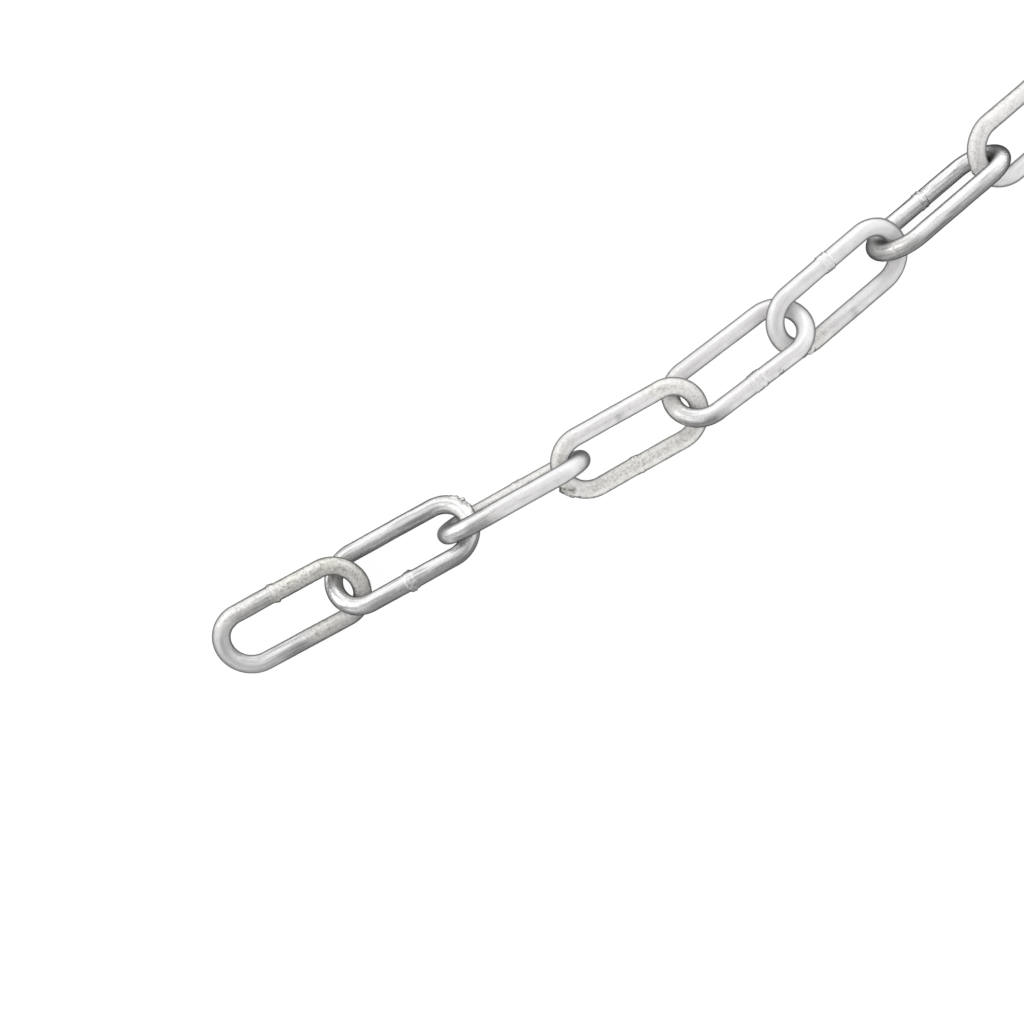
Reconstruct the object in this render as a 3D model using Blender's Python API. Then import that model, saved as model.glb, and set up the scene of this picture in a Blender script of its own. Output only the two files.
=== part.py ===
"""One metre of galvanised long-link steel chain, laid in a loose hook on the floor.

Every link is one ring of round wire, bent and welded shut, and is an object of its own. The
links at the free end lie as they were put down, some standing on one leg and some lying on
their neighbours. From there the chain was drawn along the floor, so its links stand on one
leg and lean to either side in turn, through a wide turn and a short run back.

All lengths are in metres and all angles in degrees. +Z is up, and the origin is on the
floor, in the middle of the chain's footprint.
"""

from math import cos, pi, radians, sin

import bpy
import numpy as np
from mathutils import Matrix, Vector

# The link: 6 mm wire over its zinc, bent to 42 mm inside length and 13 mm inside width.
WIRE_DIAMETER = 0.0060
INSIDE_LENGTH = 0.042
INSIDE_WIDTH = 0.0129
WELD_HEIGHT = 0.00025
WELD_LENGTH = 0.0030
WELD_CREST = 0.0010

# The mesh of a link: straight steps round each bend, and the wire's sides less four, halved.
BEND_STEPS = 8
WIRE_RESOLUTION = 4

# The chain: the links in a metre, and the gap that two touching links keep. The straight
# steps of a bend stand up to 0.2 mm into it, which leaves about 0.3 mm.
LINK_COUNT = 24
REST_GAP = 0.0005

# The free end, link by link. The heading is the way a link points and the rise is the slope
# of its long axis. The lean turns it about that axis, with its left leg up where positive.
# Forward and aside lead to its middle from the middle of the link before. The lift is the
# gap under a link that lies on its neighbours, and the weld is on its left or right leg.
FREE_END = (
    # heading, rise, lean, forward, aside, lift, weld
    (0.0, 0.0, 45.0, 0.0, 0.0, 0.0, "left"),
    (0.0, 1.5, -6.5, 0.0393, 0.0001, 0.0058, "right"),
    (1.5, -1.5, -61.0, 0.0392, -0.0018, 0.0, "left"),
    (1.5, -1.5, 48.5, 0.0399, -0.0017, 0.0, "right"),
    (9.0, 1.5, -9.5, 0.0404, 0.0011, 0.0064, "right"),
    (13.0, 0.0, 51.5, 0.0386, -0.0008, 0.0, "left"),
)

# The drawn part: how far each link leans, where the turn starts, and its links and angle.
DRAWN_LEAN = 45.0
TURN_START = 8
TURN_LINKS = 12
TURN_ANGLE = 180.0

# The steps between two drawn links that are tried, and how often their range is halved.
SHORTEST_STEP = 0.037
LONGEST_STEP = 0.043
HALVINGS = 24
MEASURING_STEPS = 56

BEND_RADIUS = (INSIDE_WIDTH + WIRE_DIAMETER) / 2
HALF_LEG = (INSIDE_LENGTH - INSIDE_WIDTH) / 2


def bend(side, steps):
    """The centre line of the bend at one end, from one leg to the other, flat in XY."""
    angles = [side * (-pi / 2 + pi * step / steps) for step in range(steps + 1)]
    middle = side * HALF_LEG
    return [(middle + side * BEND_RADIUS * cos(a), BEND_RADIUS * sin(a)) for a in angles]


def weld_rings():
    """The rings of the weld's ridge, halfway along the left leg, as place and wire radius."""
    crest = 1.0 + WELD_HEIGHT / (WIRE_DIAMETER / 2)
    places = (
        (WELD_LENGTH / 2, 1.0),
        (WELD_CREST / 2, crest),
        (-WELD_CREST / 2, crest),
        (-WELD_LENGTH / 2, 1.0),
    )
    return [((x, BEND_RADIUS), radius) for x, radius in places]


def link_curve():
    """A link as a closed wire, flat in XY, its long axis along X."""
    far_bend = [(point, 1.0) for point in bend(1, BEND_STEPS)]
    near_bend = [(point, 1.0) for point in bend(-1, BEND_STEPS)]
    rings = far_bend + weld_rings() + near_bend
    curve = bpy.data.curves.new("link", "CURVE")
    curve.dimensions = "3D"
    curve.bevel_depth = WIRE_DIAMETER / 2
    curve.bevel_resolution = WIRE_RESOLUTION
    spline = curve.splines.new("POLY")
    spline.points.add(len(rings) - 1)
    for point, ((x, y), radius) in zip(spline.points, rings):
        point.co = (x, y, 0.0, 1.0)
        point.radius = radius
    spline.use_cyclic_u = True
    return curve


def measuring_line():
    """Close-set points along a link's centre line, to measure the gap to the next link."""
    legs = np.linspace(HALF_LEG, -HALF_LEG, MEASURING_STEPS)
    left = [(x, BEND_RADIUS) for x in legs]
    right = [(x, -BEND_RADIUS) for x in legs]
    points = bend(1, MEASURING_STEPS) + left + bend(-1, MEASURING_STEPS) + right
    return np.array([(x, y, 0.0) for x, y in points])


def turned(heading, rise, lean):
    """The rotation of a link that lies this way."""
    swing = Matrix.Rotation(radians(heading), 3, "Z")
    pitch = Matrix.Rotation(radians(-rise), 3, "Y")
    roll = Matrix.Rotation(radians(lean), 3, "X")
    return swing @ pitch @ roll


def spun(line, rotation):
    """A line of points after a rotation."""
    return line @ np.array(rotation).T


def standing_height(line, rotation):
    """The height of a link's middle when its wire just touches the floor."""
    return WIRE_DIAMETER / 2 - spun(line, rotation)[:, 2].min()


def wire_gap(line_a, line_b):
    """The gap between the wires of two links, from their centre lines."""
    apart = line_a[:, None, :] - line_b[None, :, :]
    return np.sqrt((apart**2).sum(axis=2)).min() - WIRE_DIAMETER


def stepped(start, heading, forward, aside, height):
    """The point reached from start by a step along a heading and a step to its left."""
    ahead = Vector((cos(radians(heading)), sin(radians(heading)), 0.0))
    left = Vector((-ahead.y, ahead.x, 0.0))
    place = start + forward * ahead + aside * left
    place.z = height
    return place


def longest_step(line, last, rotation, heading, height):
    """The longest step to a link that still hooks the last one with the resting gap."""
    last_line = spun(line, last["rotation"]) + np.array(last["place"])
    this_line = spun(line, rotation)
    near, far = SHORTEST_STEP, LONGEST_STEP
    for _ in range(HALVINGS):
        middle = (near + far) / 2
        place = stepped(last["place"], heading, middle, 0.0, height)
        if wire_gap(last_line, this_line + np.array(place)) > REST_GAP:
            near = middle
        else:
            far = middle
    return near


def lay_free_end(line):
    """The links of the free end, each as its rotation, place, heading and weld side."""
    links = []
    place = Vector((0.0, 0.0, 0.0))
    last_heading = FREE_END[0][0]
    for heading, rise, lean, forward, aside, lift, weld in FREE_END:
        rotation = turned(heading, rise, lean)
        height = standing_height(line, rotation) + lift
        place = stepped(place, (heading + last_heading) / 2, forward, aside, height)
        links.append({"rotation": rotation, "place": place, "heading": heading, "weld": weld})
        last_heading = heading
    return links


def lay_drawn(line, links):
    """Add the links of the drawn part, each hooked to the one before."""
    for number in range(len(links), LINK_COUNT):
        last = links[-1]
        turning = TURN_START <= number < TURN_START + TURN_LINKS
        heading = last["heading"] + (TURN_ANGLE / TURN_LINKS if turning else 0.0)
        leans_left = number % 2 == 1
        rotation = turned(heading, 0.0, DRAWN_LEAN if leans_left else -DRAWN_LEAN)
        height = standing_height(line, rotation)
        middle_heading = (heading + last["heading"]) / 2
        step = longest_step(line, last, rotation, middle_heading, height)
        place = stepped(last["place"], middle_heading, step, 0.0, height)
        weld = "right" if leans_left else "left"
        links.append({"rotation": rotation, "place": place, "heading": heading, "weld": weld})


def zinc_material():
    """Hot-dip zinc, a pale matt silver grey."""
    material = bpy.data.materials.new("hot_dip_zinc")
    material.use_nodes = True
    shader = material.node_tree.nodes["Principled BSDF"]
    shader.inputs["Base Color"].default_value = (0.62, 0.62, 0.63, 1.0)
    shader.inputs["Metallic"].default_value = 1.0
    shader.inputs["Roughness"].default_value = 0.4
    return material


def make_links(links, collection):
    """One object for each link. A link with its weld on the right is turned end for end."""
    curve = link_curve()
    curve.materials.append(zinc_material())
    half_turn = Matrix.Rotation(pi, 3, "Z")
    objects = []
    for number, link in enumerate(links, start=1):
        rotation = link["rotation"] @ half_turn if link["weld"] == "right" else link["rotation"]
        obj = bpy.data.objects.new(f"link_{number:02d}", curve)
        obj.matrix_world = Matrix.Translation(link["place"]) @ rotation.to_4x4()
        collection.objects.link(obj)
        objects.append(obj)
    return objects


def footprint_middle(objects):
    """The point on the floor under the middle of the chain's bounding box."""
    bpy.context.view_layer.update()
    graph = bpy.context.evaluated_depsgraph_get()
    corners = []
    for obj in objects:
        evaluated = obj.evaluated_get(graph)
        mesh = evaluated.to_mesh()
        corners += [obj.matrix_world @ vertex.co for vertex in mesh.vertices]
        evaluated.to_mesh_clear()
    points = np.array(corners)
    low, high = points.min(axis=0), points.max(axis=0)
    return Vector(((low[0] + high[0]) / 2, (low[1] + high[1]) / 2, low[2]))


def main():
    """Build the chain in an empty scene."""
    for obj in list(bpy.data.objects):
        bpy.data.objects.remove(obj, do_unlink=True)
    collection = bpy.data.collections.new("steel_chain")
    bpy.context.scene.collection.children.link(collection)
    line = measuring_line()
    links = lay_free_end(line)
    lay_drawn(line, links)
    objects = make_links(links, collection)
    middle = footprint_middle(objects)
    for obj in objects:
        obj.location = obj.location - middle


main()
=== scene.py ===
"""The looks of a metre of galvanised long-link chain, made round its CAD model.

Every link of the CAD model is replaced by one of the same size and place with the skin of a
hot-dipped link: an uneven coat, the collar and burrs of its butt weld, beads where the zinc
ran together, and stretches that froze smooth beside others that froze matt and grainy. The
first six links follow the picture. The rest of the run gets its own marks by rule.

Lengths in the rows and in the mesh code are in millimetres, and Blender's are in metres.
"""

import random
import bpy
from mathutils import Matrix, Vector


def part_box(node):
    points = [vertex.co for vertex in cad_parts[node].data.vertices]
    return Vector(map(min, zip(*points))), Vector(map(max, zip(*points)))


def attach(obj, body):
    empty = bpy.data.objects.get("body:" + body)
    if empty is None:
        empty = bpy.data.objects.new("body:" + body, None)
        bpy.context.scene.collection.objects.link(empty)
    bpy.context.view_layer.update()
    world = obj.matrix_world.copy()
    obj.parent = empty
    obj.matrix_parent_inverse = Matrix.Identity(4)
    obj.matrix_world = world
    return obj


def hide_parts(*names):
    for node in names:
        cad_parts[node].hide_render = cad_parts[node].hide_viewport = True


bl_info = {
    "name": "Galvanised Chain",
    "version": (1, 0, 0),
    "blender": (4, 5, 0),
    "location": "3D View > Sidebar > Chain",
    "description": "Makes the zinc-dipped links of a chain round its CAD model, with a stage",
    "category": "Add Mesh",
}

from math import cos, pi, radians, sin

import bpy
import numpy as np
from mathutils import Matrix, Vector, noise

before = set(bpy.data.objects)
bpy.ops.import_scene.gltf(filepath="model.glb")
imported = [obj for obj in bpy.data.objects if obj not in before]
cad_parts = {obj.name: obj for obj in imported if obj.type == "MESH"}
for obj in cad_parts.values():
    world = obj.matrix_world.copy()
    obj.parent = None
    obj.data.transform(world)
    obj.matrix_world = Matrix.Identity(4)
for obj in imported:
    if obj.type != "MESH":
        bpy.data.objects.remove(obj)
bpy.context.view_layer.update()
LINKS = sorted(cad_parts)
MM = 0.001

# How far from a weld the rings of a mesh lie closer together, in millimetres.
WELD_REACH = 4.0

# Places on a link are millimetres along its wire, from the middle of the welded leg towards
# the next link, and degrees round the wire, from its outer side over its upper face.

# The links that the picture shows whole or in part, which are meshed more finely.
FREE_END_LINKS = 6
FREE_END_MESH = (360, 56)
DRAWN_MESH = (240, 40)

# Satin stretches, between bright and matt: link, from, to, how satin.
FREE_END_SATIN = (
    (1, 68.0, 102.0, 0.40),
    (2, 24.0, 36.0, 0.35),
    (3, -36.0, 67.0, 0.85),
    (4, -59.0, 59.0, 0.95),
    (5, -13.0, 90.0, 0.90),
    (6, -59.0, 59.0, 0.85),
)

# The butt welds of the free end: place along, length, height of the collar, burr on the outer
# side, burr on the inner side, and how far the wire before the weld stands out.
FREE_END_WELDS = {
    1: (-1.0, 1.8, 0.20, 0.30, 0.42, 0.16),
    2: (-0.6, 2.8, 0.16, 0.50, 0.52, -0.04),
    3: (2.6, 2.2, 0.20, 0.25, 0.26, 0.06),
    4: (-1.6, 2.2, 0.14, 0.12, 0.28, -0.16),
    5: (0.6, 3.6, 0.20, 0.15, 0.34, 0.05),
}

# Beads and clusters of beads of zinc: link, place along, round, how far they spread, how
# many, how tall and how wide they are.
FREE_END_BEADS = (
    (1, 99.0, 40.0, 6.0, 5, 0.10, 0.9),
    (2, 36.6, -28.0, 0.9, 4, 0.50, 0.8),
    (2, 34.3, -20.0, 0.3, 2, 0.95, 0.9),
    (2, 32.6, -34.0, 0.9, 5, 0.65, 0.8),
    (2, 95.0, -60.0, 1.2, 2, 0.16, 0.9),
    (4, 92.4, -44.0, 2.8, 16, 0.70, 1.0),
    (4, 90.8, -16.0, 1.2, 6, 0.80, 0.8),
    (4, 33.0, -60.0, 5.0, 5, 0.10, 0.9),
    (5, 7.9, -15.0, 0.6, 2, 0.50, 0.8),
    (6, 79.0, 22.0, 3.4, 14, 0.85, 1.0),
)

# Matt stretches: link, from, to, how matt.
FREE_END_MATT = (
    (1, -2.0, 42.0, 0.95),
    (1, 42.0, 58.0, 0.70),
    (1, 96.0, 115.0, 0.42),
    (2, 22.0, 42.0, 0.30),
    (3, -14.0, 14.0, 0.60),
    (3, 60.0, 74.0, 0.20),
    (4, -22.0, 20.0, 0.85),
    (4, 20.0, 48.0, 0.75),
    (4, 48.0, 76.0, 0.16),
    (4, 76.0, 96.0, 0.75),
    (5, 76.0, 92.0, 0.70),
    (5, -15.0, 10.0, 0.16),
    (6, 68.0, 86.0, 0.75),
)

# Burnt spots, left by the galvaniser's flux: link, place along, round, reach, how dark.
FREE_END_BURNS = (
    (2, 33.4, -52.0, 1.0, 0.45),
    (4, 91.4, -46.0, 2.2, 0.95),
    (4, 92.3, -26.0, 1.0, 1.00),
    (6, 79.0, 30.0, 2.4, 0.45),
)


class WireSizes(bpy.types.PropertyGroup):
    """The sizes of every link."""

    wire_diameter: bpy.props.FloatProperty(
        name="Wire diameter", description="Over the zinc", default=0.0058, unit="LENGTH"
    )
    inside_length: bpy.props.FloatProperty(
        name="Inside length", description="Of a link's eye", default=0.0422, unit="LENGTH"
    )
    inside_width: bpy.props.FloatProperty(
        name="Inside width", description="Of a link's eye", default=0.0131, unit="LENGTH"
    )
    flattening: bpy.props.FloatProperty(
        name="Flattening", description="How much each bend is flatter than a half circle",
        default=0.0003, unit="LENGTH",
    )
    swell: bpy.props.FloatProperty(
        name="Swell", description="How thick the coat lies in slow waves", default=0.00006,
        unit="LENGTH",
    )
    grain: bpy.props.FloatProperty(
        name="Grain", description="How far the matt coat's grain stands up", default=0.00004,
        unit="LENGTH",
    )


class ZincLook(bpy.types.PropertyGroup):
    """The colours and the polish of the zinc."""

    smooth_colour: bpy.props.FloatVectorProperty(
        name="Smooth zinc", description="Where the coat froze bright", subtype="COLOR",
        default=(0.85, 0.845, 0.85),
    )
    streak_colour: bpy.props.FloatVectorProperty(
        name="Streaks", description="In the drawn streaks of the bright coat",
        subtype="COLOR", default=(0.54, 0.54, 0.55),
    )
    satin_colour: bpy.props.FloatVectorProperty(
        name="Satin zinc", description="Where the coat froze even and pale", subtype="COLOR",
        default=(0.62, 0.605, 0.617),
    )
    matt_colour: bpy.props.FloatVectorProperty(
        name="Matt zinc", description="Where the coat froze grainy", subtype="COLOR",
        default=(0.74, 0.725, 0.675),
    )
    # Pits colour: for the dark specks of the coat, and also painted shade in the crevices round the
    # zinc beads.
    pit_and_crevice_shade_colour: bpy.props.FloatVectorProperty(
        name="Pits", description="In the pits and between the beads", subtype="COLOR",
        default=(0.30, 0.30, 0.28),
    )
    burn_colour: bpy.props.FloatVectorProperty(
        name="Burnt", description="In the burnt spots", subtype="COLOR",
        default=(0.11, 0.105, 0.07),
    )
    smooth_roughness: bpy.props.FloatProperty(
        name="Smooth roughness", description="Of the bright coat", default=0.26,
        subtype="FACTOR",
    )
    satin_roughness: bpy.props.FloatProperty(
        name="Satin roughness", description="Of the even coat", default=0.42,
        subtype="FACTOR",
    )
    matt_roughness: bpy.props.FloatProperty(
        name="Matt roughness", description="Of the grainy coat", default=0.48,
        subtype="FACTOR",
    )


class StageLook(bpy.types.PropertyGroup):
    """The floor, the light and the camera."""

    floor_size: bpy.props.FloatProperty(
        name="Floor", description="Length of the floor's sides", default=12.0, unit="LENGTH"
    )
    floor_colour: bpy.props.FloatVectorProperty(
        name="Floor colour", description="As the camera sees it", subtype="COLOR",
        default=(0.95, 0.95, 0.95),
    )
    floor_return: bpy.props.FloatVectorProperty(
        name="Floor return", description="As the metal mirrors it",
        subtype="COLOR", default=(0.24, 0.24, 0.24),
    )
    floor_glow: bpy.props.FloatProperty(
        name="Floor glow", description="Brightness of the floor for the camera", default=1.03
    )
    near_side: bpy.props.FloatProperty(
        name="Near side", description="Brightness of the tent behind the camera", default=0.36
    )
    overhead: bpy.props.FloatProperty(
        name="Overhead", description="How much brighter the tent is overhead", default=0.56
    )
    far_side: bpy.props.FloatProperty(
        name="Far side", description="How much brighter again it is at the far side", default=0.48
    )
    flanks: bpy.props.FloatProperty(
        name="Flanks", description="What the tent's left and right add", default=0.35
    )
    soft_light: bpy.props.FloatProperty(
        name="Soft light", description="Brightness all round for what isn't mirrored", default=1.50
    )
    camera_place: bpy.props.FloatVectorProperty(
        name="Camera", description="Where the camera stands", subtype="TRANSLATION",
        default=(-0.0960, -0.3354, 0.4247),
    )
    camera_heading: bpy.props.FloatProperty(
        name="Heading", description="From +Y towards +X", default=radians(-6.69),
        unit="ROTATION",
    )
    camera_drop: bpy.props.FloatProperty(
        name="Drop", description="How far it looks down", default=radians(68.38),
        unit="ROTATION",
    )
    camera_roll: bpy.props.FloatProperty(
        name="Roll", description="Turn about the line of sight", default=radians(-34.57),
        unit="ROTATION",
    )
    lens: bpy.props.FloatProperty(
        name="Lens", description="Focal length in millimetres", default=50.86
    )


class Board:
    """A node tree that nodes are added to."""

    def __init__(self, tree):
        self.tree = tree
        tree.nodes.clear()

    def add(self, kind, settings=None, inputs=None, output=0):
        """Adds a node, sets it up, joins its inputs and returns one of its outputs."""
        node = self.tree.nodes.new(kind)
        for name, value in (settings or {}).items():
            if name == "stops":
                self._set_stops(node.color_ramp, value)
            else:
                setattr(node, name, value)
        for name, value in (inputs or {}).items():
            socket = node.inputs[name]
            if isinstance(value, Wire):
                self.tree.links.new(value.socket, socket)
            else:
                socket.default_value = value
        return Wire(self, node.outputs[output]) if node.outputs else node

    def _set_stops(self, ramp, stops):
        while len(ramp.elements) < len(stops):
            ramp.elements.new(1.0)
        for element, (place, colour) in zip(ramp.elements, stops):
            element.position = place
            element.color = colour

    def mixed(self, share, first, second):
        """Two colours mixed by share."""
        return self.add(
            "ShaderNodeMix",
            {"data_type": "RGBA"},
            {0: share, 6: first, 7: second},
            output=2,
        )


class Wire:
    """A node's output. Python's operators on it add Math nodes."""

    def __init__(self, board, socket):
        self.board = board
        self.socket = socket

    def _maths(self, operation, *values):
        inputs = dict(enumerate(values))
        return self.board.add("ShaderNodeMath", {"operation": operation}, inputs)

    def __add__(self, other):
        return self._maths("ADD", self, other)

    def __radd__(self, other):
        return self._maths("ADD", other, self)

    def __sub__(self, other):
        return self._maths("SUBTRACT", self, other)

    def __rsub__(self, other):
        return self._maths("SUBTRACT", other, self)

    def __mul__(self, other):
        return self._maths("MULTIPLY", self, other)

    def __rmul__(self, other):
        return self._maths("MULTIPLY", other, self)

    def clamped(self):
        """The value kept from 0 to 1."""
        return self.board.add("ShaderNodeClamp", None, {0: self})

    def eased(self, low, high):
        """0 below low, 1 above high, and smooth in between."""
        return self.board.add(
            "ShaderNodeMapRange",
            {"interpolation_type": "SMOOTHSTEP"},
            {"Value": self, "From Min": low, "From Max": high},
        )

    def scaled(self, factors):
        """A vector with each of its parts multiplied."""
        return self.board.add(
            "ShaderNodeVectorMath", {"operation": "MULTIPLY"}, {0: self, 1: factors}
        )


def rgba(colour):
    """A colour property as the four numbers that a socket takes."""
    return (*colour, 1.0)


class LinkPath:
    """The centre line of a link in its own plane, measured along the wire from the weld."""

    def __init__(self, sizes):
        self.radius = sizes.wire_diameter / MM / 2
        self.bend = (sizes.inside_width + sizes.wire_diameter) / MM / 2
        self.half_leg = (sizes.inside_length - sizes.inside_width) / MM / 2
        self.depth = self.bend - sizes.flattening / MM
        self.length = 4 * self.half_leg + 2 * pi * self.bend

    def at(self, along):
        """Where the wire's middle is, and which way is out, for places along the wire."""
        arc = pi * self.bend
        leg = self.half_leg
        ends = np.array([leg, leg + arc, 3 * leg + arc, 3 * leg + 2 * arc])
        part = np.searchsorted(ends, along, side="right")
        far_turn = pi / 2 - (along - ends[0]) / self.bend
        near_turn = -pi / 2 - (along - ends[2]) / self.bend
        turn = np.select(
            [part == 1, part == 2, part == 3], [far_turn, np.full_like(along, -pi / 2), near_turn],
            pi / 2,
        )
        x = np.select(
            [part == 0, part == 1, part == 2, part == 3],
            [along, np.full_like(along, leg), leg - (along - ends[1]), np.full_like(along, -leg)],
            along - self.length,
        )
        out = np.stack([np.cos(turn), np.sin(turn)], axis=1)
        bent = (part == 1) | (part == 3)
        middle = np.stack([x + np.where(bent, self.depth * out[:, 0], 0.0), self.bend * out[:, 1]], 1)
        return middle, out

    def apart(self, along, place):
        """How far places along the wire are from one of them, the short way round."""
        half = self.length / 2
        return (along - place + half) % self.length - half


def link_place(name, to_next):
    """Where a link lies: X towards the next link, Y towards its weld, from its CAD node."""
    raw = np.array([vertex.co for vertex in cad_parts[name].data.vertices])
    points = np.unique(raw.round(6), axis=0)
    mean = points.mean(axis=0)
    axes = np.linalg.eigh(np.cov((points - mean).T))[1].T
    long_axis = axes[2] if axes[2] @ to_next > 0 else -axes[2]
    cross_axis = axes[1]
    local = (points - mean) @ np.stack([long_axis, cross_axis, axes[0]]).T
    reach = (local[:, 0].max() - local[:, 0].min()) / 2
    middle_x = (local[:, 0].max() + local[:, 0].min()) / 2
    bends = local[np.abs(local[:, 0] - middle_x) > reach / 2]
    middle_y = (bends[:, 1].max() + bends[:, 1].min()) / 2
    middle_z = (bends[:, 2].max() + bends[:, 2].min()) / 2
    centre = mean + middle_x * long_axis + middle_y * cross_axis + middle_z * axes[0]
    if middle_y > 0:
        cross_axis = -cross_axis
    flat_axis = np.cross(long_axis, cross_axis)
    turn = Matrix(np.stack([long_axis, cross_axis, flat_axis], axis=1))
    return Matrix.Translation(centre) @ turn.to_4x4()


def noise_at(points, scale, seed):
    """Blender's smooth noise at each point, of waves about 1 / scale long."""
    shift = Vector((seed * 17.3, seed * 5.1, seed * 9.7))
    return np.array([noise.noise(Vector(point) * scale + shift) for point in points])


def window(apart, reach, soft):
    """1 within reach of a place and 0 beyond, with soft edges."""
    return np.clip((reach + soft - np.abs(apart)) / (2 * soft), 0.0, 1.0)


def rows_of(table, number):
    """The rows of a table that are about this link."""
    return [row[1:] for row in table if row[0] == number]


def marks_of(number):
    """The marks of a link's zinc: by the tables for the free end, and by rule further on."""
    draw = random.Random(number)
    drawn_weld = (
        draw.uniform(-1.0, 1.0),
        draw.uniform(1.8, 3.2),
        draw.uniform(0.15, 0.30),
        draw.uniform(0.12, 0.42),
        draw.uniform(0.20, 0.50),
        draw.uniform(-0.15, 0.15),
    )
    marks = {
        "weld": FREE_END_WELDS.get(number, drawn_weld),
        "beads": rows_of(FREE_END_BEADS, number),
        "satin": rows_of(FREE_END_SATIN, number),
        "matt": rows_of(FREE_END_MATT, number),
        "burns": rows_of(FREE_END_BURNS, number),
    }
    if number <= FREE_END_LINKS:
        return marks
    marks["satin"].append((0.0, 118.0, draw.choice((0.0, 0.2, 0.6, 0.8, 0.9))))
    for _ in range(draw.choice((0, 1, 1, 2))):
        place = draw.choice((32.0, 85.0)) + draw.uniform(-12.0, 12.0)
        around = draw.uniform(-180.0, 180.0)
        cluster = (draw.uniform(1.0, 3.0), draw.randint(3, 12), draw.uniform(0.2, 0.6), 0.9)
        marks["beads"].append((place, around, *cluster))
        marks["burns"].append((place, around, draw.uniform(0.8, 2.2), draw.uniform(0.2, 0.7)))
    for _ in range(draw.choice((1, 2, 2))):
        start = draw.uniform(0.0, 117.0)
        stretch = (start, start + draw.uniform(15.0, 45.0), draw.uniform(0.3, 0.95))
        marks["matt"].append(stretch)
    return marks


def stretch_share(path, along, points, stretches, seed):
    """How matt or satin the coat is at each point, from 0 to 1."""
    wander = 3.0 * noise_at(points, 0.25, seed)
    share = np.zeros(len(along))
    for start, end, strength in stretches:
        apart = path.apart(along + wander, (start + end) / 2)
        share = np.maximum(share, strength * window(apart, (end - start) / 2, 3.0))
    return np.clip(share + 0.15 * noise_at(points, 0.4, seed + 3) * (0.4 + share), 0.0, 1.0)


def weld_rise(path, along, around, points, weld, seed):
    """How far the weld's collar and burrs stand out from the wire, in millimetres."""
    place, length, height, outer_burr, inner_burr, step = weld
    apart = path.apart(along, place) + 0.30 * noise_at(points, 0.45, seed + 7)
    collar = np.exp(-((apart / (0.55 * length)) ** 6))
    rims = np.exp(-(((np.abs(apart) - 0.45 * length) / 0.26) ** 2))
    burr = np.exp(-((apart / (0.42 * length)) ** 4))
    outer = outer_burr * np.clip(np.cos(around), 0.0, 1.0) ** 6
    inner = inner_burr * np.clip(-np.cos(around), 0.0, 1.0) ** 6
    lumps = 1.0 + 1.1 * noise_at(points, 1.5, seed + 8)
    crumbs = 1.0 + 0.7 * noise_at(points, 0.7, seed + 9)
    ledge = step * np.cos(around) * np.exp(-((apart / 7.0) ** 2)) * np.clip(-4 * apart, 0.0, 1.0)
    collar_rise = height * (0.5 * collar + 0.7 * rims * crumbs)
    return collar_rise + (outer + inner) * burr * lumps + ledge


def surface_point(path, place, turn):
    """The point on the wire at a place along it and an angle round it."""
    (middle,), (out,) = path.at(np.array([place]))
    side = path.radius * cos(turn) * out
    return np.array([*(middle + side), path.radius * sin(turn)])


def bead_rise(path, points, clusters, seed):
    """How far the beads of zinc stand out from the wire, in millimetres."""
    rise = np.zeros(len(points))
    draw = random.Random(seed)
    for along, around, spread, count, height, wide in clusters:
        for _ in range(count):
            place = (along + draw.gauss(0.0, spread / 2)) % path.length
            turn = radians(around) + draw.gauss(0.0, 0.45 * spread / path.radius)
            size = wide * draw.uniform(0.6, 1.2)
            tall = height * draw.uniform(0.5, 1.0)
            apart = np.linalg.norm(points - surface_point(path, place, turn), axis=1)
            dome = tall * np.clip(1.0 - (apart / size) ** 2, 0.0, 1.0) ** 0.7
            rise = np.maximum(rise, dome) + 0.25 * np.minimum(rise, dome)
    return rise


def burnt_share(path, points, burns):
    """How burnt the coat is at each point, from 0 to 1."""
    share = np.zeros(len(points))
    for along, around, reach, dark in burns:
        spot = surface_point(path, along, radians(around))
        apart = np.linalg.norm(points - spot, axis=1) / reach
        share = np.maximum(share, dark * np.clip(1.6 - apart, 0.0, 1.0))
    return share


def ring_places(path, rings, weld_place):
    """Where the rings of a link's mesh are along its wire, closer together at its weld."""
    close = rings // 14
    near = np.linspace(0.0, WELD_REACH, close, endpoint=False)
    far = np.linspace(WELD_REACH, path.length - WELD_REACH, rings - 2 * close, endpoint=False)
    last = path.length - WELD_REACH + near
    return weld_place + np.concatenate([near, far, last])


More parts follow.
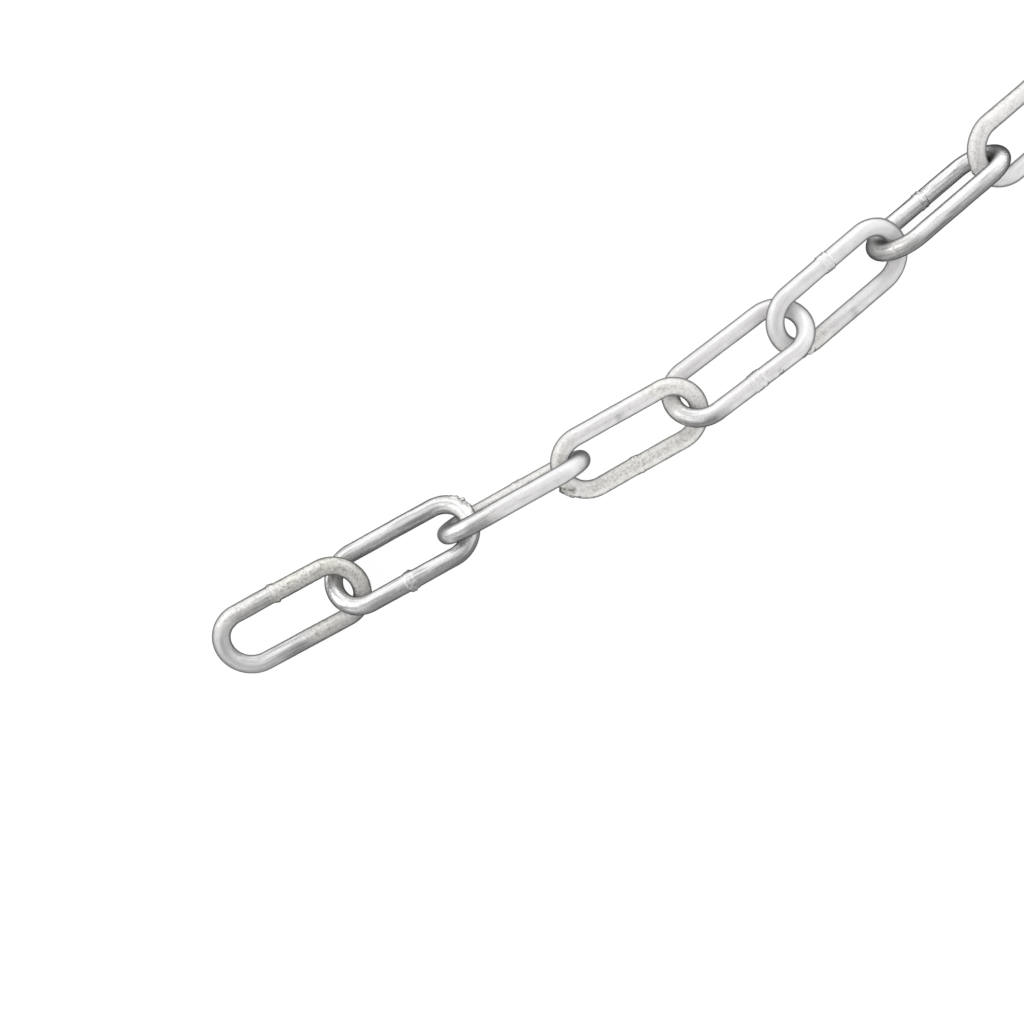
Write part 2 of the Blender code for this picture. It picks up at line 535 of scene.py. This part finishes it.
def link_mesh(name, number, sizes, rings, sides):
    """The mesh of a link in its own frame, with the marks of its zinc."""
    path = LinkPath(sizes)
    marks = marks_of(number)
    side_angles = np.arange(sides) * 2 * pi / sides
    along = np.repeat(ring_places(path, rings, marks["weld"][0]), sides)
    around = np.tile(side_angles, rings)
    middle, out = path.at(along)
    outward = np.stack([out[:, 0] * np.cos(around), out[:, 1] * np.cos(around), np.sin(around)], 1)
    centre = np.column_stack([middle, np.zeros(len(middle))])
    points = centre + path.radius * outward
    matt = stretch_share(path, along, points, marks["matt"], number)
    satin = stretch_share(path, along, points, marks["satin"], number + 5)
    beads = bead_rise(path, points, marks["beads"], number)
    burnt = burnt_share(path, points, marks["burns"])
    rise = sizes.swell / MM * noise_at(points, 0.14, number + 11)
    rise += sizes.grain / MM * (0.4 + matt) * noise_at(points, 0.6, number + 12)
    rise += 0.8 * sizes.grain / MM * matt * noise_at(points, 1.6, number + 13)
    rise += weld_rise(path, along, around, points, marks["weld"], number)
    rise += beads
    shaped = (centre + (path.radius + rise)[:, None] * outward) * MM
    ring, side = np.meshgrid(np.arange(rings), np.arange(sides), indexing="ij")
    next_ring, next_side = (ring + 1) % rings, (side + 1) % sides
    corners = [ring * sides + side, ring * sides + next_side]
    corners += [next_ring * sides + next_side, next_ring * sides + side]
    faces = np.stack([corner.ravel() for corner in corners], axis=1)
    mesh = bpy.data.meshes.new(name)
    mesh.from_pydata(shaped.tolist(), [], faces.tolist())
    mesh.shade_smooth()
    shares = {"matt": matt, "satin": satin, "beads": np.clip(2 * beads, 0, 1), "burnt": burnt}
    for label, values in shares.items():
        mesh.attributes.new(label, "FLOAT", "POINT").data.foreach_set("value", values)
    places = np.stack([along, path.radius * np.cos(around), path.radius * np.sin(around)], 1)
    places[:, 0] += 200.0 * number
    attribute = mesh.attributes.new("wire_place", "FLOAT_VECTOR", "POINT")
    attribute.data.foreach_set("vector", places.ravel())
    return mesh


def zinc_material(look):
    """Hot-dip zinc that is bright, satin or matt as the link's mesh says."""
    material = bpy.data.materials.get("hot_dip_zinc_coat")
    if material:
        return material
    material = bpy.data.materials.new("hot_dip_zinc_coat")
    material.use_nodes = True
    board = Board(material.node_tree)
    place = board.add("ShaderNodeAttribute", {"attribute_name": "wire_place"}, output="Vector")
    matt = board.add("ShaderNodeAttribute", {"attribute_name": "matt"}, output="Fac")
    satin = board.add("ShaderNodeAttribute", {"attribute_name": "satin"}, output="Fac")
    beads = board.add("ShaderNodeAttribute", {"attribute_name": "beads"}, output="Fac")
    burnt = board.add("ShaderNodeAttribute", {"attribute_name": "burnt"}, output="Fac")
    facing = board.add("ShaderNodeLayerWeight", None, {"Blend": 0.5}, output="Facing")

    def cloud(scale, detail=2.0, stretch=(1.0, 1.0, 1.0), roughness=0.5):
        settings = {"noise_dimensions": "3D"}
        inputs = {
            "Vector": place.scaled(stretch),
            "Scale": scale,
            "Detail": detail,
            "Roughness": roughness,
        }
        return board.add("ShaderNodeTexNoise", settings, inputs)

    def between(share, first, second):
        return first + share * (second - first)

    patch = cloud(0.35, 3.0)
    matt = (matt + (patch - 0.5) * 1.4 * matt * (1.25 - matt)).clamped()
    drawn = cloud(1.0, 3.0, (0.07, 1.0, 1.0))
    broad = cloud(0.45, 2.0, (0.10, 1.0, 1.0))
    grain = cloud(1.9, 3.0, roughness=0.65)
    specks = cloud(1.25, 3.0, roughness=0.7)
    mottle = cloud(1.0, 4.0, roughness=0.75)

    streaks = drawn.eased(0.50, 0.60)
    smooth = board.mixed(streaks, rgba(look.smooth_colour), rgba(look.streak_colour))
    pale = board.mixed(broad.eased(0.35, 0.65), rgba(look.satin_colour), (0.70, 0.685, 0.695, 1.0))
    rough = board.mixed(mottle.eased(0.46, 0.60), rgba(look.matt_colour), (0.47, 0.46, 0.42, 1.0))
    colour = board.mixed(satin, smooth, pale)
    colour = board.mixed(matt, colour, rough)
    colour = board.mixed(matt * satin * 0.16, colour, (0.30, 0.295, 0.27, 1.0))
    colour = board.mixed(grain.eased(0.55, 0.70) * matt * 0.6, colour, (0.85, 0.845, 0.82, 1.0))
    pits = specks.eased(0.55, 0.64) * (matt * 0.62 + 0.16) * patch.eased(0.30, 0.55)
    # Painted shade: a band round the foot of each zinc bead is darkened towards the pits colour,
    # standing in for the shade in the crevice there.
    crevice_shade = (beads * (1.0 - beads) * 2.6 * mottle.eased(0.35, 0.60)).clamped()
    dark = (pits + crevice_shade * 0.8).clamped()
    colour = board.mixed(dark, colour, rgba(look.pit_and_crevice_shade_colour))
    burnt = (burnt * mottle.eased(0.30, 0.60)).clamped()
    colour = board.mixed(burnt, colour, rgba(look.burn_colour))
    # Painted highlight: on each side of the wire as seen, between its middle and its outline, the
    # satin and matt coat is lightened towards white.
    sides = facing.eased(0.03, 0.13) * (1.0 - facing.eased(0.30, 0.52))
    dull = (satin + matt).clamped()
    colour = board.mixed(sides * dull * 0.32, colour, (0.97, 0.97, 0.97, 1.0))
    # Painted shade: towards the wire's outline as seen, the colour is darkened to near black, more
    # broadly on the satin and matt coat, standing in for dark surroundings mirrored at the edges.
    painted_rim_shade = between(dull, facing.eased(0.46, 0.80) * 0.80, facing.eased(0.36, 0.66) * 0.84)
    colour = board.mixed(painted_rim_shade, colour, (0.11, 0.11, 0.11, 1.0))

    polish = between(satin, look.smooth_roughness, look.satin_roughness)
    polish = between(matt, polish, look.matt_roughness)
    polish = polish + (mottle - 0.5) * 0.16 + streaks * (1.0 - satin) * 0.08 + dark * 0.2
    metal = between(satin, between(matt, 1.0, 0.75), between(matt, 0.24, 0.12))

    fine = grain * (matt * 0.9 + (1.0 - satin) * 0.45 + 0.12)
    height = fine + drawn * 0.30 - pits * 0.9 + cloud(0.55, 2.0) * 0.6
    height = height + burnt * grain * 1.5
    bump = board.add(
        "ShaderNodeBump", None, {"Strength": 0.5, "Distance": 0.00025, "Height": height}
    )
    shader = board.add(
        "ShaderNodeBsdfPrincipled",
        None,
        {
            "Base Color": colour,
            "Metallic": metal.clamped(),
            "Roughness": polish.clamped(),
            "Specular Tint": (0.42, 0.42, 0.42, 1.0),
            "Normal": bump,
        },
    )
    board.add("ShaderNodeOutputMaterial", None, {"Surface": shader})
    return material


def floor_material(look):
    """A pale floor: lit up for the camera, white for soft light and dark in reflections."""
    material = bpy.data.materials.new("pale_floor")
    material.use_nodes = True
    board = Board(material.node_tree)
    seen = board.add("ShaderNodeLightPath", None, None, output="Is Camera Ray")
    soft = board.add("ShaderNodeLightPath", None, None, output="Is Diffuse Ray")
    glow = board.add("ShaderNodeEmission", None, {"Strength": look.floor_glow})
    paint = board.add("ShaderNodeBsdfDiffuse", None, {"Color": rgba(look.floor_colour)})
    lit = board.add("ShaderNodeMixShader", None, {0: 0.90, 1: paint, 2: glow})
    mirrored = board.add("ShaderNodeBsdfDiffuse", None, {"Color": rgba(look.floor_return)})
    fill = board.add("ShaderNodeEmission", None, {"Strength": look.soft_light})
    unseen = board.add("ShaderNodeMixShader", None, {0: soft, 1: mirrored, 2: fill})
    shader = board.add("ShaderNodeMixShader", None, {0: seen, 1: unseen, 2: lit})
    board.add("ShaderNodeOutputMaterial", None, {"Surface": shader})
    return material


def light_tent(look):
    """A light tent that is bright on its far half and dim behind the camera."""
    world = bpy.data.worlds.new("light_tent")
    bpy.context.scene.world = world
    world.use_nodes = True
    board = Board(world.node_tree)
    way = board.add("ShaderNodeTexCoord", None, None, output="Generated")
    across = board.add("ShaderNodeSeparateXYZ", None, {0: way}, output="X")
    ahead = board.add("ShaderNodeSeparateXYZ", None, {0: way}, output="Y")
    sideways = board.add("ShaderNodeMath", {"operation": "ABSOLUTE"}, {0: across})
    level = look.near_side + ahead.eased(-0.80, -0.25) * look.overhead
    level = level + ahead.eased(-0.10, 0.55) * look.far_side
    level = level + sideways.eased(0.20, 0.60) * look.flanks
    soft = board.add("ShaderNodeLightPath", None, None, output="Is Diffuse Ray")
    level = level + soft * (look.soft_light - level)
    tent = board.add("ShaderNodeBackground", None, {"Strength": level})
    seen = board.add("ShaderNodeLightPath", None, None, output="Is Camera Ray")
    backdrop = board.add("ShaderNodeBackground", None, {"Color": rgba(look.floor_colour)})
    shader = board.add("ShaderNodeMixShader", None, {0: seen, 1: tent, 2: backdrop})
    board.add("ShaderNodeOutputWorld", None, {"Surface": shader})


def softbox(name, place, aim, size, power):
    """A square area lamp at a place, turned to shine on a point."""
    lamp = bpy.data.lights.new(name, "AREA")
    lamp.size = size
    lamp.energy = power
    obj = bpy.data.objects.new(name, lamp)
    obj.location = place
    obj.rotation_mode = "QUATERNION"
    obj.rotation_quaternion = (Vector(aim) - Vector(place)).to_track_quat("-Z", "Y")
    bpy.context.scene.collection.objects.link(obj)


def set_camera(look):
    """The camera at the picture's viewing angle."""
    heading, drop, roll = look.camera_heading, look.camera_drop, look.camera_roll
    sight = Vector((sin(heading) * cos(drop), cos(heading) * cos(drop), -sin(drop)))
    level_right = sight.cross(Vector((0.0, 0.0, 1.0))).normalized()
    level_up = level_right.cross(sight)
    right = cos(roll) * level_right + sin(roll) * level_up
    camera = bpy.data.cameras.new("picture_camera")
    camera.lens = look.lens
    obj = bpy.data.objects.new("picture_camera", camera)
    turn = Matrix((right, right.cross(-sight) * -1.0, -sight)).transposed()
    obj.matrix_world = Matrix.Translation(look.camera_place) @ turn.to_4x4()
    bpy.context.scene.collection.objects.link(obj)
    bpy.context.scene.camera = obj


def keep_on_floor(mesh):
    """Flattens whatever stands out below the floor."""
    points = np.empty(3 * len(mesh.vertices), dtype=np.float32)
    mesh.vertices.foreach_get("co", points)
    points[2::3] = np.maximum(points[2::3], 0.0)
    mesh.vertices.foreach_set("co", points)


def make_links(numbers, mesh_size):
    """Replaces the CAD nodes of these links by finished ones."""
    scene = bpy.context.scene
    material = zinc_material(scene.zinc_look)
    centres = [sum(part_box(name), Vector()) / 2 for name in LINKS]
    for number in numbers:
        name = LINKS[number - 1]
        near, far = (number - 1, number) if number < len(LINKS) else (number - 2, number - 1)
        matrix = link_place(name, centres[far] - centres[near])
        mesh = link_mesh("coated_" + name, number, scene.wire_sizes, *mesh_size)
        mesh.transform(matrix)
        keep_on_floor(mesh)
        mesh.materials.append(material)
        piece = bpy.data.objects.new("coated_" + name, mesh)
        scene.collection.objects.link(piece)
        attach(piece, name)
        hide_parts(name)
        if len(mesh.polygons) != mesh_size[0] * mesh_size[1]:
            raise RuntimeError(f"{name} has an unexpected number of faces")


class CHAIN_OT_free_end(bpy.types.Operator):
    """Make the links of the free end, which follow the picture"""

    bl_idname = "chain.free_end"
    bl_label = "Free end"

    def execute(self, context):
        make_links(range(1, FREE_END_LINKS + 1), FREE_END_MESH)
        return {"FINISHED"}


class CHAIN_OT_drawn_part(bpy.types.Operator):
    """Make the links of the drawn part, in the turn and the run back"""

    bl_idname = "chain.drawn_part"
    bl_label = "Drawn part"

    def execute(self, context):
        make_links(range(FREE_END_LINKS + 1, len(LINKS) + 1), DRAWN_MESH)
        return {"FINISHED"}


class CHAIN_OT_stage(bpy.types.Operator):
    """Set the floor, the light and the camera"""

    bl_idname = "chain.stage"
    bl_label = "Stage"

    def execute(self, context):
        look = context.scene.stage_look
        half = look.floor_size / 2
        corners = [(-half, -half, 0.0), (half, -half, 0.0), (half, half, 0.0), (-half, half, 0.0)]
        mesh = bpy.data.meshes.new("floor")
        mesh.from_pydata(corners, [], [(0, 1, 2, 3)])
        mesh.materials.append(floor_material(look))
        floor = bpy.data.objects.new("floor", mesh)
        context.scene.collection.objects.link(floor)
        light_tent(look)
        softbox("far_softbox", (0.35, 0.60, 0.90), (0.0, -0.1, 0.0), 0.45, 1.2)
        softbox("side_softbox", (-0.80, 0.10, 0.70), (0.0, -0.1, 0.0), 0.35, 0.8)
        set_camera(look)
        context.scene.view_settings.view_transform = "Standard"
        return {"FINISHED"}


class CHAIN_PT_panel(bpy.types.Panel):
    """The chain's steps and sizes"""

    bl_idname = "CHAIN_PT_panel"
    bl_label = "Galvanised chain"
    bl_space_type = "VIEW_3D"
    bl_region_type = "UI"
    bl_category = "Chain"

    def draw(self, context):
        for step in (CHAIN_OT_free_end, CHAIN_OT_drawn_part, CHAIN_OT_stage):
            self.layout.operator(step.bl_idname)
        scene = context.scene
        for group in (scene.wire_sizes, scene.zinc_look, scene.stage_look):
            box = self.layout.box()
            for name in group.bl_rna.properties.keys():
                if name not in ("rna_type", "name"):
                    box.prop(group, name)


GROUPS = {"wire_sizes": WireSizes, "zinc_look": ZincLook, "stage_look": StageLook}
CLASSES = (
    *GROUPS.values(),
    CHAIN_OT_free_end,
    CHAIN_OT_drawn_part,
    CHAIN_OT_stage,
    CHAIN_PT_panel,
)


def register():
    """Registers the classes and hangs the property groups on the scene."""
    for item in CLASSES:
        bpy.utils.register_class(item)
    for name, group in GROUPS.items():
        setattr(bpy.types.Scene, name, bpy.props.PointerProperty(type=group))


def unregister():
    """Takes away what register added."""
    for name in GROUPS:
        delattr(bpy.types.Scene, name)
    for item in reversed(CLASSES):
        bpy.utils.unregister_class(item)


def main():
    """Makes the chain and its stage."""
    register()
    bpy.ops.chain.free_end()
    bpy.ops.chain.drawn_part()
    bpy.ops.chain.stage()


if __name__ == "__main__":
    main()
